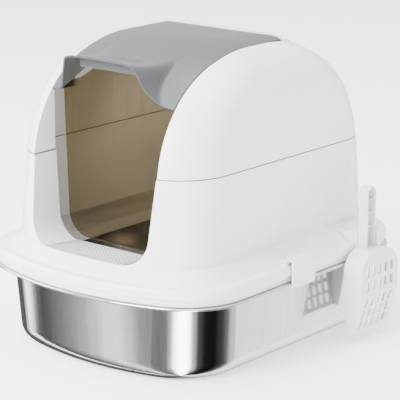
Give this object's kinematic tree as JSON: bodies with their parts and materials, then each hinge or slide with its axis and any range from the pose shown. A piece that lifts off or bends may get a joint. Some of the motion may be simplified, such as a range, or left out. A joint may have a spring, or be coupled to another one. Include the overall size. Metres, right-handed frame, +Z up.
{
  "type": "hooded cat litter box",
  "caption": "Hooded cat litter box: steel pan, domed white hood with a deep doorway, grey flip-up lid carrying a see-through swing flap, side clips and a hanging slotted scoop.",
  "frame": {"origin": "centre of the pan's flat bottom, on the floor", "axes": "+Z up, the doorway faces -Y, the scoop hangs on the +X side"},
  "size_m": [0.4465, 0.5208, 0.4179],
  "materials": {
    "pan_steel": "bright polished",
    "hood_white": "satin",
    "tread_white": "matte, studded",
    "lid_grey": "satin",
    "flap_smoke": "clear tinted plastic",
    "clip_white": "satin",
    "scoop_white": "satin",
    "pin_steel": "plain"
  },
  "bodies": {
    "base": {"steel_pan": "pan_steel", "lower_hood": "hood_white", "upper_hood": "hood_white", "entry_tread": "tread_white", "lid_hinge_rod": "pin_steel", "right_clip_pin": "pin_steel", "left_clip_pin": "pin_steel", "scoop_holder": "clip_white"},
    "lid": {"lid": "lid_grey"},
    "flap": {"flap": "flap_smoke"},
    "right_clip": {"right_clip": "clip_white"},
    "left_clip": {"left_clip": "clip_white"},
    "scoop": {"scoop": "scoop_white"}
  },
  "joints": [
    {"name": "lid_hinge", "type": "hinge", "parent": "base", "child": "lid", "pos_m": [0, 0.049, 0.4098], "axis": [-1, 0, 0], "range_deg": [0, 80]},
    {"name": "flap_swing", "type": "hinge", "parent": "lid", "child": "flap", "pos_m": [0, -0.15, 0.358], "axis": [1, 0, 0], "range_deg": [-50, 60]},
    {"name": "right_clip_turn", "type": "hinge", "parent": "base", "child": "right_clip", "pos_m": [0.1965, -0.022, 0.1392], "axis": [0, -1, 0], "range_deg": [0, 105]},
    {"name": "left_clip_turn", "type": "hinge", "parent": "base", "child": "left_clip", "pos_m": [-0.1965, -0.022, 0.1392], "axis": [0, 1, 0], "range_deg": [0, 105]},
    {"name": "scoop_pull", "type": "slide", "parent": "base", "child": "scoop", "axis": [1, 0, 0], "range_m": [0, 0.06]}
  ]
}
